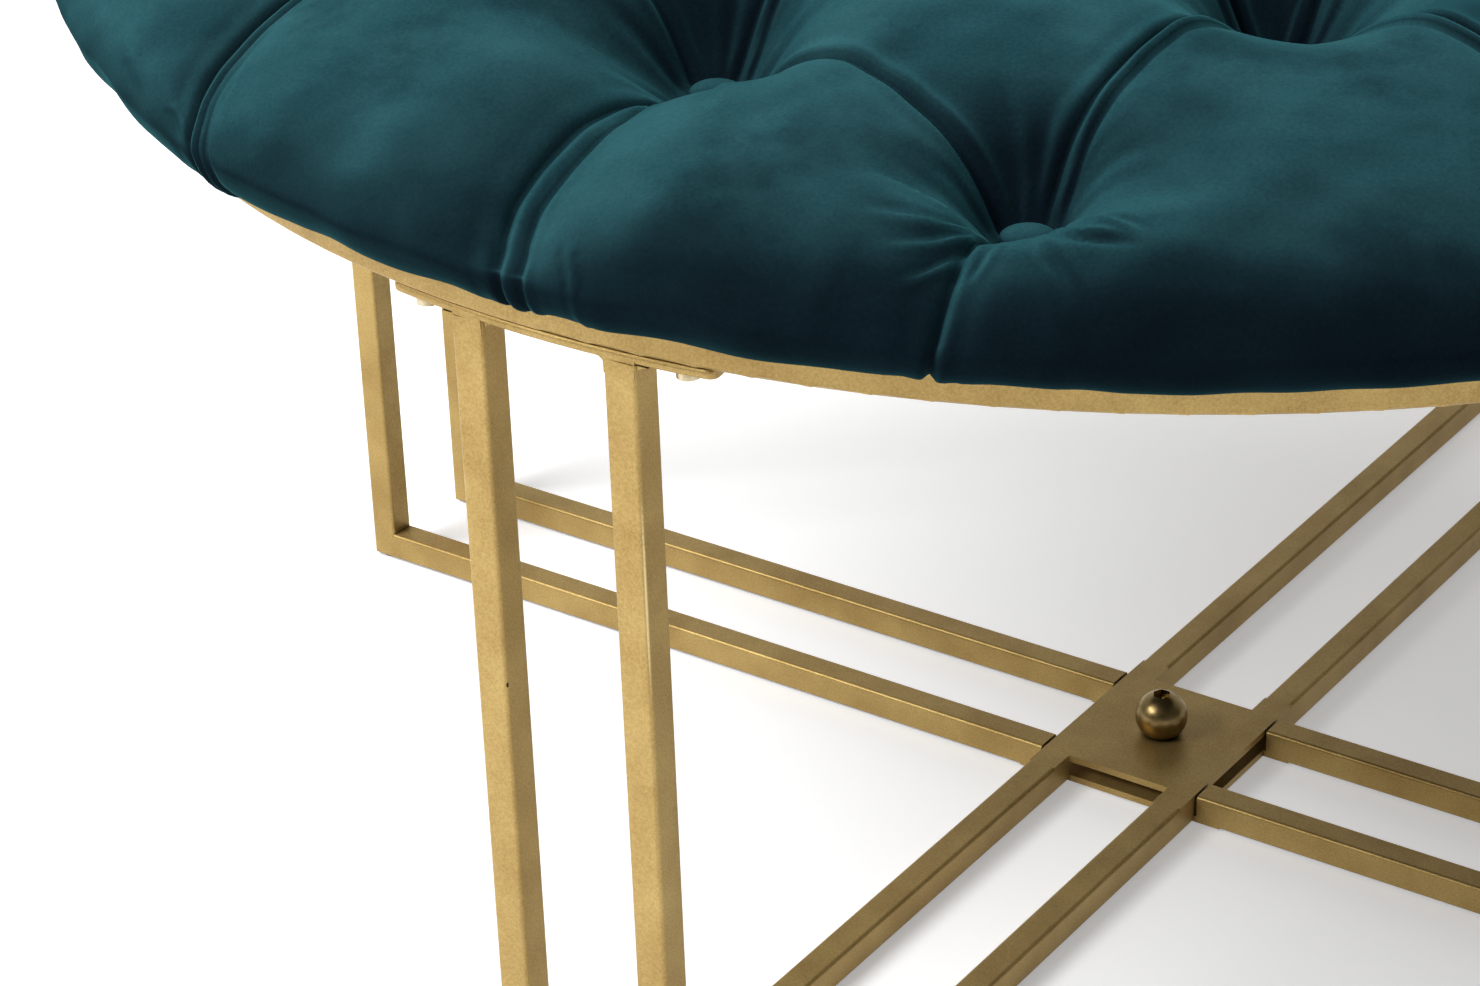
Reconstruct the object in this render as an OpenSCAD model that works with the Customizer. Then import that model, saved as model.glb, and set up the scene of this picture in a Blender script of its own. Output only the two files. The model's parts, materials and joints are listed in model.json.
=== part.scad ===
// Round tufted ottoman on an open frame of square tube.
// Origin on the floor at the middle of the crossing, +Z up.
// The right and left arms run along X, the front and back arms along Y.

/* [Tube] */
// Width of the square tube
tube = 12.7; // [10:0.1:20]
// Wall of the square tube
wall = 1.5; // [1:0.1:2]
// Outer corner radius of the square tube
tube_r = 1.5; // [0.5:0.1:2.5]

/* [Floor frame and legs] */
// How far the legs' outer faces lie inside the ring's face
leg_inset = 2; // [1:0.5:3]
// Clear gap between the two bars of a pair
pair_gap = 48.5; // [35:0.5:60]
// Height of a leg, from the underside of its bar to its top
leg_h = 376; // [200:1:500]
// Rounding of the outer bottom edge of a foot
foot_r = 2; // [0.5:0.1:3]
// Diameter of a foot pad
pad_d = 9; // [5:0.5:10]
// Thickness of a foot pad
pad_t = 1; // [0.5:0.1:4]

/* [Crossing] */
// Thickness of the two crossing plates
plate_t = 3; // [2:0.1:3.5]
// Length of a plate's tabs along the bars
tab_l = 12; // [6:0.5:30]
// Seam between the upper plate and the bars that it has no tabs on
seam = 1.3; // [0.2:0.1:3]
// Thickness of the caps in the inner ends of the bars
cap_t = 1.5; // [1:0.1:4]
// Diameter of the ball
ball_d = 22.5; // [18:0.5:30]
// Height of the ball's middle over the plate that its flat underside sits on
ball_rise = 8.8; // [5:0.1:9]
// Diameter of the ball bolt's shank
bolt_d = 8; // [5:0.5:9]
// Radial clearance of the ball bolt and the strip screws
bolt_clear = 0.05; // [0.02:0.01:0.1]
// Width of the hexagon socket in the ball
hex_w = 7; // [3:0.5:8]
// Depth of the hexagon socket
hex_h = 4; // [2:0.5:6]
// Width of the weld nut across its flats
nut_w = 13; // [12:0.5:18]
// Height of the weld nut
nut_h = 6.5; // [3:0.1:6.6]

/* [Ring and strips] */
// Outer radius of the ring
ring_r = 412; // [330:1:500]
// Thickness of the strips
strip_t = 4; // [2:0.5:8]
// Width of the strips
strip_w = 18; // [16:0.5:30]
// Length of a strip along its outer edge
strip_l = 130; // [100:1:200]
// How far the strips' outer edges lie inside the ring's face
strip_inset = 1; // [0:0.1:3]
// Corner radius of the strips
strip_r = 3; // [1:0.5:6]
// Distance from each end of a strip to its screw
screw_end = 11.8; // [8:0.1:20]
// Diameter of the strip screws' shanks
screw_d = 5; // [3:0.5:6]
// Diameter of the screws' heads
head_d = 8; // [7:0.5:12]
// Height of the screws' heads
head_h = 2.4; // [1.5:0.1:5]
// Clearance hole for the screws in the strips and the ring
screw_hole_d = 5.5; // [5.2:0.1:8]
// Length of screw in the board
screw_grip = 8; // [4:0.5:11]
// Width and depth of the screws' cross recess
recess_w = 1; // [0.5:0.1:1.5]

/* [Seat] */
// How far the seat board's edge lies inside the ring's face
board_inset = 0; // [0:0.5:3]
// Thickness of the seat board
board_t = 12; // [12:0.5:25]
// Outer diameter of the threaded inserts
insert_d = 7.5; // [6.5:0.1:10]
// Length of the threaded inserts
insert_l = 10; // [6:0.5:11.5]
// Thickness of the velvet that is turned under the board
lip_t = 1; // [0.5:0.1:3]
// Width of the velvet that is turned under the board
lip_w = 27; // [20:0.5:50]
// Gap between the dust cover and the inside of the ring
dust_gap = 2.3; // [1:0.1:8]
// Thickness of the dust cover
dust_t = 0.6; // [0.3:0.1:1.5]
// Number of staples
staples = 24; // [12:1:48]
// Width of a staple's crown
staple_w = 10; // [6:0.5:14]
// Width of the staple wire
wire_w = 1.2; // [0.6:0.1:2]
// Thickness of the staple wire
wire_t = 0.6; // [0.4:0.1:1]
// Length of a staple's legs
staple_l = 10; // [6:0.5:12]

/* [Cushion] */
// How far the cushion's widest line stands out past the ring's face
side_out = 25; // [22:0.5:40]
// Height of the widest line above the board's underside
side_h = 16; // [14:0.5:30]
// Width of the rounded shoulder
shoulder_w = 41; // [30:1:50]
// Height of the rounded shoulder
shoulder_h = 36; // [20:1:45]
// How far the velvet's lower edge stands out past the ring's face
hem_out = 10.5; // [6:0.5:15]
// Height of the crown above the board's underside
crown_h = 81; // [70:1:110]
// Fall of the crown from the middle to the rim
crown_fall = 42; // [20:1:50]
// Thickness of the velvet with its wadding
cover_t = 3; // [2:0.5:3]
// Clearance between the soft pieces
soft_gap = 0.4; // [0.3:0.1:1]
// Height of the lowest dimple above the board's top
tuft_h = 4.2; // [4.2:0.2:12]
// Rise of the middle dimple above the lowest
tuft_rise = 9; // [4:0.5:14]
// Half width of a dimple
dimple_r = 24; // [15:1:35]
// Depth of the folds between the pillows
fold_h = 8; // [2:0.5:12]
// Half width of a fold
fold_w = 12; // [6:1:25]
// Depth of the pleats over the rim
pleat_h = 6; // [0:0.5:8]

/* [Tufting] */
// Half of a diamond's short diagonal
tuft_s = 94.5; // [88:0.5:96]
// Half of a diamond's long diagonal
tuft_l = 120; // [112:0.5:124]
// Shift of the pattern along the short diagonals
tuft_shift = 7; // [0:0.5:12]
// Turn of the pattern about the middle
tuft_angle = 36; // [0:1:90]
// Least distance of a button from the cushion's widest line
button_margin = 45; // [42:1:50]
// Diameter of a button
button_d = 18; // [12:0.5:20]
// Height of a button's dome
dome_h = 3; // [2:0.5:6]
// Diameter of a twine
twine_d = 2; // [1:0.5:3]
// Diameter of the knot under the board
knot_d = 6; // [4:0.5:8]
// Height of the knot
knot_h = 2.5; // [1:0.5:4]

/* [Hidden] */

$fn = 48;
round_fn = 192;

velvet = [0.12, 0.28, 0.31];
gold = [0.80, 0.67, 0.44];
brass = [0.78, 0.60, 0.30];
steel = [0.62, 0.62, 0.64];
plywood = [0.76, 0.63, 0.45];
foam = [0.93, 0.89, 0.74];
black = [0.08, 0.08, 0.09];
twine = [0.85, 0.80, 0.68];

// Overrun of cuts past the faces that they open
over = tube / 10;

// Directions of the four arms, and of the side that a bar of a pair lies on
RIGHT = 0;
BACK = 90;
LEFT = 180;
FRONT = 270;

// Frame
reach = ring_r - leg_inset;
pair = pair_gap + tube;
hub = (pair + tube) / 2;
bar_top = pad_t + tube;
strip_z = pad_t + leg_h;
ring_z = strip_z + strip_t;
ring_mid = ring_r - tube / 2;
strip_out = ring_r - strip_inset;
strip_in = strip_out - strip_w;
strip_turn = strip_l / strip_out * 90 / PI;
screw_turn = (strip_l / 2 - screw_end) / strip_out * 180 / PI;
ball_z = bar_top + ball_rise;
nut_z = pad_t + plate_t;

// Seat
board_r = ring_r - board_inset;
lip_r = board_r - lip_w;
dust_r = ring_r - tube - dust_gap;
lip_z = ring_z + tube;
board_z = lip_z + lip_t;
board_top = board_z + board_t;
dust_z = lip_z - dust_t;
staple_r = (lip_r + dust_r) / 2;
thread_d = screw_d + 2 * bolt_clear;

// Cushion
side_r = ring_r + side_out;
hem_r = ring_r + hem_out;
crown_z = board_z + crown_h;
side_z = board_z + side_h;
dimple_share = 2.6;
crown_share = 3;
around = 56;
inner_wall = (board_r + soft_gap) / cos(180 / around);
pad_r = side_r - 2 * cover_t;
shelf_z = board_top - soft_gap;
shoulder_angles = [55, 24, -6];
pleat_angle = 4;

// Button: a shallow cone below that clears the dimple, a dome above
button_seat = button_d / 9;
button_back = 0.53 * button_d;
button_tip_d = 1.5 * twine_d;
dome_r = (pow(button_d / 2, 2) + pow(dome_h, 2)) / (2 * dome_h);

// Lattice of the tufting: a place is [i, j], and a button sits where i + j is even
button_zone = side_r - button_margin;
LAST = ceil(side_r / min(tuft_s, tuft_l));
function spread(p) = norm([tuft_s * p[0], tuft_l * p[1]]);
function turned(v, a) = [v[0] * cos(a) - v[1] * sin(a), v[0] * sin(a) + v[1] * cos(a)];
function place(p) = turned([tuft_shift + tuft_s * p[0], tuft_l * p[1]], tuft_angle);
function is_button(p) = (p[0] + p[1]) % 2 == 0 && spread(p) < button_zone;
BUTTONS = [
    for (i = [-LAST:LAST], j = [-LAST:LAST]) if (is_button([i, j])) [i, j]
];

// Folds run between neighbouring buttons, and on from each outer button over the rim
FOLDS = [
    for (b = BUTTONS, dj = [-1, 1])
        if (is_button(b + [1, dj])) [place(b), place(b + [1, dj])]
];
function outward(p) = [sign(p[0]), sign(p[1])];
function next_out(p) = p[1] == 0 ? p + 2 * outward(p) : p + outward(p);
OUTER = [for (b = BUTTONS) if (b[0] != 0 && !is_button(next_out(b))) b];
function rim_hit(p, d) =
    let (along = p * d, len2 = d * d)
    p + d * ((sqrt(along * along + len2 * (side_r * side_r - p * p)) - along) / len2);
PLEATS = [for (b = OUTER) [place(b), rim_hit(place(b), place(b + outward(b)) - place(b))]];
PLEAT_TURNS = [for (p = PLEATS) atan2(p[1][1], p[1][0])];

// Height of the tufted top
function crown(r) = crown_z - crown_fall * pow(r / side_r, crown_share);
function dimple_z(r) = board_top + tuft_h + tuft_rise * (1 - pow(r / side_r, 2));
function to_segment(p, a, b) =
    let (t = max(0, min(1, (p - a) * (b - a) / ((b - a) * (b - a)))))
    norm(p - a - t * (b - a));
function top_z(p) =
    let (
        r = norm(p),
        nearest = min([for (b = BUTTONS) norm(p - place(b))]),
        side = min([for (f = concat(FOLDS, PLEATS)) to_segment(p, f[0], f[1])]),
        dip = 1 / (1 + pow(nearest / dimple_r, dimple_share)),
        fold = fold_h * exp(-pow(side / fold_w, 2))
    )
    crown(r) - (crown(r) - dimple_z(r)) * dip - fold * (1 - dip);

// Grid of the tufted top: it runs along the folds, steps to each diamond's side
steps = 4;
field_share = 0.865;
field_zone = side_r - field_share * shoulder_w;
grid = ceil(steps * field_zone * norm([1 / tuft_s, 1 / tuft_l]) / 2);
function grid_place(g) = [(g[0] + g[1]) / steps, (g[0] - g[1]) / steps];
function in_field(g) = spread(grid_place(g)) < field_zone;
ROWS = [for (m = [-grid:grid]) [for (n = [-grid:grid]) if (in_field([m, n])) n]];
function row(m) = ROWS[m + grid];
ROW_STARTS = [
    for (m = 0, start = 0; m <= 2 * grid; start = start + len(ROWS[m]), m = m + 1) start
];
FIELD = [for (m = [-grid:grid]) for (n = row(m)) [m, n]];
FIELD_XY = [for (g = FIELD) place(grid_place(g))];
FIELD_Z = [for (p = FIELD_XY) top_z(p)];
function field_at(g) = ROW_STARTS[g[0] + grid] + g[1] - row(g[0])[0];
TRIANGLES = [
    for (g = FIELD, far = [[1, 0], [0, 1]])
        let (corner = g + [1, 1], side = g + far)
        if (in_field(corner) && in_field(side))
            far[0] == 1 ? [g, side, corner] : [g, corner, side]
];

// Edge of the grid, in order round the middle
function by_turn(list) =
    len(list) < 2 ? list :
    let (
        mid = list[floor(len(list) / 2)][0],
        less = [for (e = list) if (e[0] < mid) e],
        same = [for (e = list) if (e[0] == mid) e],
        more = [for (e = list) if (e[0] > mid) e]
    )
    concat(by_turn(less), same, by_turn(more));
function edge_turn(a, b) =
    let (m = FIELD_XY[field_at(a)] + FIELD_XY[field_at(b)]) atan2(m[1], m[0]);
EDGES = by_turn([
    for (t = TRIANGLES, k = [0:2])
        let (a = t[k], b = t[(k + 1) % 3], c = t[(k + 2) % 3])
        if (!in_field(a + b - c)) [edge_turn(a, b), field_at(a), field_at(b)]
]);
function ring_near(e) = round(EDGES[e][0] * around / 360) + around / 2;

// Faces: the field, the band from its edge to the first ring, and bands between rings
function field_faces(first) = [for (t = TRIANGLES) [for (g = t) first + field_at(g)]];
function zip_faces(first, ring) = [
    for (e = [0:len(EDGES) - 1])
        let (
            from = ring_near(e),
            next = ring_near((e + 1) % len(EDGES)),
            to = next < from ? next + around : next
        )
        each concat(
            [[first + EDGES[e][2], first + EDGES[e][1], ring + from % around]],
            from == to ? [] : [for (k = [from:to - 1])
                [first + EDGES[e][1], ring + (k + 1) % around, ring + k % around]]
        )
];
function band_faces(a, b) = [
    for (k = [0:around - 1])
        let (n = (k + 1) % around)
        each [[a + k, a + n, b + n], [a + k, b + n, b + k]]
];
function flipped(faces) = [for (f = faces) [f[0], f[2], f[1]]];

// Rings of points round the side, drawn in where a pleat runs over the rim
function ring_turn(k) = k * 360 / around - 180;
function turn_gap(a, b) = let (d = abs(a - b) % 360) min(d, 360 - d);
function pleat_at(a) =
    exp(-pow(min([for (t = PLEAT_TURNS) turn_gap(a, t)]) / pleat_angle, 2));
function ring_points(r, z, pleat) = [
    for (k = [0:around - 1])
        let (a = ring_turn(k), w = pleat * pleat_at(a))
        [(r - w) * cos(a), (r - w) * sin(a), z - w]
];
function shoulder_points(a) =
    ring_points(
        side_r - shoulder_w * (1 - cos(a)),
        side_z + shoulder_h * sin(a),
        pleat_h * max(0, sin(a))
    );

module velvet_cover() {
    count = len(FIELD);
    points = concat(
        [for (k = [0:count - 1]) [FIELD_XY[k][0], FIELD_XY[k][1], FIELD_Z[k]]],
        [for (a = shoulder_angles) each shoulder_points(a)],
        ring_points(hem_r, lip_z, 0),
        ring_points(lip_r, lip_z, 0),
        ring_points(lip_r, board_z, 0),
        ring_points(inner_wall, board_z, 0),
        ring_points(inner_wall, shelf_z, 0),
        ring_points(pad_r + soft_gap, shelf_z, 0),
        [for (k = [0:count - 1]) [FIELD_XY[k][0], FIELD_XY[k][1], FIELD_Z[k] - cover_t]]
    );
    rings = len(shoulder_angles) + 6;
    inner = count + rings * around;
    color(velvet) polyhedron(points, concat(
        field_faces(0),
        zip_faces(0, count),
        [for (k = [0:rings - 2]) each band_faces(count + k * around, count + (k + 1) * around)],
        flipped(zip_faces(inner, inner - around)),
        flipped(field_faces(inner))
    ));
}

module foam_pad() {
    count = len(FIELD);
    drop = cover_t + soft_gap;
    points = concat(
        [for (k = [0:count - 1]) [FIELD_XY[k][0], FIELD_XY[k][1], FIELD_Z[k] - drop]],
        ring_points(pad_r, board_top, 0)
    );
    color(foam) polyhedron(points, concat(
        field_faces(0),
        zip_faces(0, count),
        [for (k = [1:around - 2]) [count, count + k, count + k + 1]]
    ));
}

module at_buttons() {
    for (b = BUTTONS) {
        xy = place(b);
        translate([xy[0], xy[1], dimple_z(norm(xy))]) children();
    }
}

module seat_buttons() {
    color(velvet) at_buttons() {
        translate([0, 0, button_seat])
            cylinder(h = button_back, d1 = button_tip_d, d2 = button_d);
        intersection() {
            translate([0, 0, button_seat + button_back + dome_h - dome_r]) sphere(dome_r);
            translate([0, 0, button_seat + button_back]) cylinder(h = 2 * dome_h, d = 2 * button_d);
        }
    }
}

module button_twines() {
    color(twine) for (b = BUTTONS) {
        xy = place(b);
        tip = dimple_z(norm(xy)) + button_seat;
        translate([xy[0], xy[1], board_z]) {
            cylinder(h = tip - board_z, d = twine_d);
            cylinder(h = knot_h, d = knot_d - 2 * bolt_clear);
        }
    }
}

module seat_board() {
    color(plywood) translate([0, 0, board_z]) difference() {
        cylinder(h = board_t, r = board_r, $fn = round_fn);
        for (b = BUTTONS) {
            xy = place(b);
            translate([xy[0], xy[1], -over]) {
                cylinder(h = board_t + 2 * over, d = twine_d + 2 * bolt_clear);
                cylinder(h = knot_h + bolt_clear + over, d = knot_d);
            }
        }
        at_screws() translate([0, 0, -over]) cylinder(h = insert_l + over, d = insert_d);
    }
}

module at_screws() {
    for (arm = [RIGHT, BACK, LEFT, FRONT], e = [-1, 1])
        rotate([0, 0, arm + e * screw_turn]) translate([ring_mid, 0, 0]) children();
}

module board_inserts() {
    color(brass) at_screws() translate([0, 0, board_z]) difference() {
        cylinder(h = insert_l, d = insert_d);
        translate([0, 0, -over]) cylinder(h = insert_l + 2 * over, d = thread_d);
    }
}

module dust_cover() {
    color(black) translate([0, 0, dust_z]) cylinder(h = dust_t, r = dust_r, $fn = round_fn);
}

module cover_staples() {
    color(steel) for (k = [0:staples - 1]) rotate([0, 0, (k + 1 / 2) * 360 / staples])
        translate([staple_r, 0, dust_z - wire_t]) {
            translate([-wire_w / 2, -staple_w / 2, 0]) cube([wire_w, staple_w, wire_t]);
            for (e = [-1, 1])
                translate([-wire_w / 2, e * (staple_w - wire_t) / 2 - wire_t / 2, 0])
                    cube([wire_w, wire_t, staple_l + wire_t]);
        }
}

module tube_section() {
    difference() {
        union() {
            square([tube, tube - 2 * tube_r], center = true);
            square([tube - 2 * tube_r, tube], center = true);
            for (x = [-1, 1], y = [-1, 1])
                translate([x, y] * (tube / 2 - tube_r)) circle(tube_r);
        }
        square(tube - 2 * wall, center = true);
    }
}

module seat_ring() {
    color(gold) difference() {
        rotate_extrude($fn = round_fn) translate([ring_mid, ring_z + tube / 2]) tube_section();
        at_screws() translate([0, 0, ring_z - over])
            cylinder(h = tube + 2 * over, d = screw_hole_d);
    }
}

// The waste outside a rounded corner whose body lies in the +x, +y quarter
module corner_waste(r) {
    difference() {
        translate([-over, -over]) square(r + over);
        translate([r, r]) circle(r);
    }
}

module strip(arm) {
    far = 2 * strip_out;
    color(gold) rotate([0, 0, arm]) translate([0, 0, strip_z]) difference() {
        linear_extrude(strip_t) difference() {
            intersection() {
                difference() {
                    circle(strip_out, $fn = round_fn);
                    circle(strip_in, $fn = round_fn);
                }
                polygon([
                    [0, 0],
                    [far * cos(strip_turn), -far * sin(strip_turn)],
                    [far * cos(strip_turn), far * sin(strip_turn)]
                ]);
            }
            for (side = [0, 1]) mirror([0, side]) rotate(strip_turn) {
                translate([strip_out, 0]) rotate(180) corner_waste(strip_r);
                translate([strip_in, 0]) mirror([0, 1]) corner_waste(strip_r);
            }
        }
        for (e = [-1, 1]) rotate([0, 0, e * screw_turn]) translate([ring_mid, 0, -over])
            cylinder(h = strip_t + 2 * over, d = screw_hole_d);
    }
}

module strip_screws() {
    color(gold) at_screws() difference() {
        union() {
            translate([0, 0, strip_z - head_h]) cylinder(h = head_h, d = head_d);
            translate([0, 0, strip_z - head_h / 2])
                cylinder(h = board_z + screw_grip - strip_z + head_h / 2, d = screw_d);
        }
        for (a = [0, 90]) rotate([0, 0, a])
            translate([-screw_d / 2, -recess_w / 2, strip_z - head_h - over])
                cube([screw_d, recess_w, recess_w + over]);
    }
}

// Waste of the mitre at the foot: above the cut for the bar, below it for the leg
module mitre_waste(above) {
    corner = above ? [reach + over, tube + over] : [reach - tube - over, -over];
    rotate([90, 0, 0]) linear_extrude(tube + 2 * over, center = true)
        polygon([[reach - tube - over, tube + over], [reach + over, -over], corner]);
}

module foot_waste() {
    rotate([90, 0, 0]) linear_extrude(tube + 2 * over, center = true)
        translate([reach, 0]) mirror([1, 0]) corner_waste(foot_r);
}

module leg(arm, side) {
    color(gold) rotate([0, 0, arm]) translate([0, side * pair / 2, pad_t]) difference() {
        translate([reach - tube / 2, 0, 0]) linear_extrude(leg_h) tube_section();
        mitre_waste(false);
        foot_waste();
    }
}

module stretcher(arm, side) {
    tab_above = arm == FRONT || arm == BACK;
    inner = tab_above ? hub : hub + seam;
    notch_z = tab_above ? tube - plate_t : -over;
    color(gold) rotate([0, 0, arm]) translate([0, side * pair / 2, pad_t]) difference() {
        translate([inner, 0, tube / 2]) rotate([0, 90, 0])
            linear_extrude(reach - inner) tube_section();
        mitre_waste(true);
        foot_waste();
        translate([hub - over, -tube / 2 - over, notch_z])
            cube([tab_l + over, tube + 2 * over, plate_t + over]);
    }
}

module tube_end_caps() {
    color(gold) for (arm = [RIGHT, BACK, LEFT, FRONT], side = [-1, 1]) {
        tab_above = arm == FRONT || arm == BACK;
        inner = tab_above ? hub : hub + seam;
        cap_z = tab_above ? wall : plate_t;
        rotate([0, 0, arm])
            translate([inner, side * pair / 2 - tube / 2 + wall, pad_t + cap_z])
                cube([cap_t, tube - 2 * wall, tube - wall - plate_t]);
    }
}

// Square that closes the crossing, with two tabs on each of two sides
module crossing_plate() {
    linear_extrude(plate_t) {
        square(2 * hub, center = true);
        for (side = [-1, 1])
            translate([side * pair / 2, 0]) square([tube, 2 * (hub + tab_l)], center = true);
    }
}

module upper_plate() {
    color(gold) translate([0, 0, bar_top - plate_t]) difference() {
        crossing_plate();
        translate([0, 0, -over]) cylinder(h = plate_t + 2 * over, d = bolt_d + 2 * bolt_clear);
    }
}

module lower_plate() {
    color(gold) translate([0, 0, pad_t]) rotate([0, 0, 90]) crossing_plate();
}

module ball_bolt() {
    color(brass) difference() {
        union() {
            intersection() {
                translate([0, 0, ball_z]) sphere(d = ball_d);
                translate([0, 0, bar_top]) cylinder(h = ball_d, d = ball_d + 2 * over);
            }
            translate([0, 0, nut_z + bolt_clear]) cylinder(h = bar_top - nut_z, d = bolt_d);
        }
        translate([0, 0, ball_z + ball_d / 2 - hex_h])
            cylinder(h = hex_h + over, d = hex_w / cos(30), $fn = 6);
    }
}

module weld_nut() {
    color(steel) translate([0, 0, nut_z]) difference() {
        cylinder(h = nut_h, d = nut_w / cos(30), $fn = 6);
        translate([0, 0, -over]) cylinder(h = nut_h + 2 * over, d = bolt_d + 2 * bolt_clear);
    }
}

module foot_pads() {
    color(black) for (arm = [RIGHT, BACK, LEFT, FRONT], side = [-1, 1])
        rotate([0, 0, arm]) translate([reach - tube / 2, side * pair / 2, 0])
            cylinder(h = pad_t, d = pad_d);
}

velvet_cover();
seat_buttons();
button_twines();
foam_pad();
seat_board();
board_inserts();
dust_cover();
cover_staples();
seat_ring();
strip(FRONT);  // strip_front
strip(RIGHT);  // strip_right
strip(BACK);  // strip_back
strip(LEFT);  // strip_left
strip_screws();
leg(FRONT, -1);  // leg_front_left
leg(FRONT, 1);  // leg_front_right
leg(RIGHT, -1);  // leg_right_front
leg(RIGHT, 1);  // leg_right_back
leg(BACK, -1);  // leg_back_right
leg(BACK, 1);  // leg_back_left
leg(LEFT, -1);  // leg_left_back
leg(LEFT, 1);  // leg_left_front
stretcher(FRONT, -1);  // stretcher_front_left
stretcher(FRONT, 1);  // stretcher_front_right
stretcher(RIGHT, -1);  // stretcher_right_front
stretcher(RIGHT, 1);  // stretcher_right_back
stretcher(BACK, -1);  // stretcher_back_right
stretcher(BACK, 1);  // stretcher_back_left
stretcher(LEFT, -1);  // stretcher_left_back
stretcher(LEFT, 1);  // stretcher_left_front
upper_plate();
lower_plate();
tube_end_caps();
ball_bolt();
weld_nut();
foot_pads();
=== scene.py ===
import json
import math
from types import SimpleNamespace
import bmesh
import bpy
import numpy as np
from mathutils import Matrix, Vector


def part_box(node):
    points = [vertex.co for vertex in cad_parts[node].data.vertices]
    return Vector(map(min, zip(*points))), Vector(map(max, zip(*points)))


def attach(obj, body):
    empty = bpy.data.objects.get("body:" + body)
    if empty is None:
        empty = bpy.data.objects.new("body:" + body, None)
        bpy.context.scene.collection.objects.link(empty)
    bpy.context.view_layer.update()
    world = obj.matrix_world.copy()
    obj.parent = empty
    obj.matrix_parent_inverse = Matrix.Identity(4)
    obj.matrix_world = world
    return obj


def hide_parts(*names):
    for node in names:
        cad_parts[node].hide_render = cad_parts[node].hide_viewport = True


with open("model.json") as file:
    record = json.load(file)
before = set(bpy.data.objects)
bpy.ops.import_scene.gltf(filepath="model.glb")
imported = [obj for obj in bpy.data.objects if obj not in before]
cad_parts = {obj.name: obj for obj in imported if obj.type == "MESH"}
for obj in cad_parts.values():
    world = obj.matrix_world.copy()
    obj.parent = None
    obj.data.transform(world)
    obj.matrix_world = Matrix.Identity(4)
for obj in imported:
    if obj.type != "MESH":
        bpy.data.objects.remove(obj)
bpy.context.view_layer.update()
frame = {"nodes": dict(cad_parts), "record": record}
mm = 0.001
tiny = 1e-6            # keeps a divisor from being zero
anyPhase = (0, 6.3)    # radians, for a wave that may start anywhere
print("frame loaded")


def addObject(name, data):
    obj = bpy.data.objects.new(name, data)
    bpy.context.scene.collection.objects.link(obj)
    return obj


# Camera at the photograph's place: close, above the front and to the right
camera = {
    "place": (740.4, -1329.6, 956.2),   # mm
    "heading": 35.84,                   # degrees from +Y towards -X
    "tilt": 28.395,                     # degrees below the horizon
    "roll": -2.149,
    "lens": 99.9, "sensor": 36.0,       # mm
    "clipEnd": 50.0,                    # m
}


def addCamera():
    data = bpy.data.cameras.new("photoCamera")
    data.lens = camera["lens"]
    data.sensor_width = camera["sensor"]
    data.clip_end = camera["clipEnd"]
    cam = addObject("photoCamera", data)
    turn = Matrix.Rotation(math.radians(camera["heading"]), 4, "Z")
    tip = Matrix.Rotation(math.radians(90 - camera["tilt"]), 4, "X")
    roll = Matrix.Rotation(math.radians(camera["roll"]), 4, "Z")
    cam.matrix_world = Matrix.Translation(Vector(camera["place"]) * mm) @ turn @ tip @ roll
    bpy.context.scene.camera = cam


addCamera()
print("camera placed")


# Mesh object from its corner places in metres and the corners of its faces
def addMesh(name, places, faces, finish=None):
    mesh = bpy.data.meshes.new(name)
    mesh.from_pydata(places, [], faces)
    if finish:
        mesh.materials.append(finish)
    return addObject(name, mesh)


def makeSmooth(mesh):
    mesh.polygons.foreach_set("use_smooth", [True] * len(mesh.polygons))


# Turns the faces outward. A middle point first closes the open edge near it with a fan
def faceOutward(mesh, middle=None, within=math.inf):
    bm = bmesh.new()
    bm.from_mesh(mesh)
    if middle:
        edge = [e for e in bm.edges if e.is_boundary and e.verts[0].co.xy.length < within]
        centre = bm.verts.new(middle)
        for e in edge:
            bm.faces.new((e.verts[0], e.verts[1], centre))
    bmesh.ops.recalc_face_normals(bm, faces=bm.faces)
    bm.to_mesh(mesh)
    bm.free()


# Faces between rings that all have the same number of points
def ringFaces(first, rings, around):
    faces = []
    for k in range(rings - 1):
        for m in range(around):
            a, b = first + k * around + m, first + k * around + (m + 1) % around
            faces.append((a, b, b + around, a + around))
    return faces


def closedTubeFaces(first, rings, around):
    last = first + (rings - 1) * around
    ends = [tuple(range(first, first + around))[::-1], tuple(range(last, last + around))]
    return ringFaces(first, rings, around) + ends


# Materials

def linear(hexColour):
    out = []
    for k in (1, 3, 5):
        c = int(hexColour[k:k + 2], 16) / 255
        out.append(c / 12.92 if c <= 0.04045 else ((c + 0.055) / 1.055) ** 2.4)
    return (*out, 1.0)


# Adds a node with its settings and links. A value is an option of the node, a number or
# colour for a socket, another node's output to link to it, or the stops of a colour ramp
def addNode(tree, kind, values=None):
    node = tree.nodes.new(kind)
    for name, value in (values or {}).items():
        if name == "stops":
            for element, (at, hexColour) in zip(node.color_ramp.elements, value):
                element.position = at
                element.color = linear(hexColour)
        elif isinstance(name, str) and hasattr(node, name):
            setattr(node, name, value)
        elif isinstance(value, bpy.types.NodeSocket):
            tree.links.new(value, node.inputs[name])
        else:
            node.inputs[name].default_value = value
    return node


def newMaterial(name):
    mat = bpy.data.materials.new(name)
    mat.use_nodes = True
    tree = mat.node_tree
    tree.nodes.clear()
    place = addNode(tree, "ShaderNodeTexCoord").outputs["Object"]
    return mat, tree, place


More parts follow.
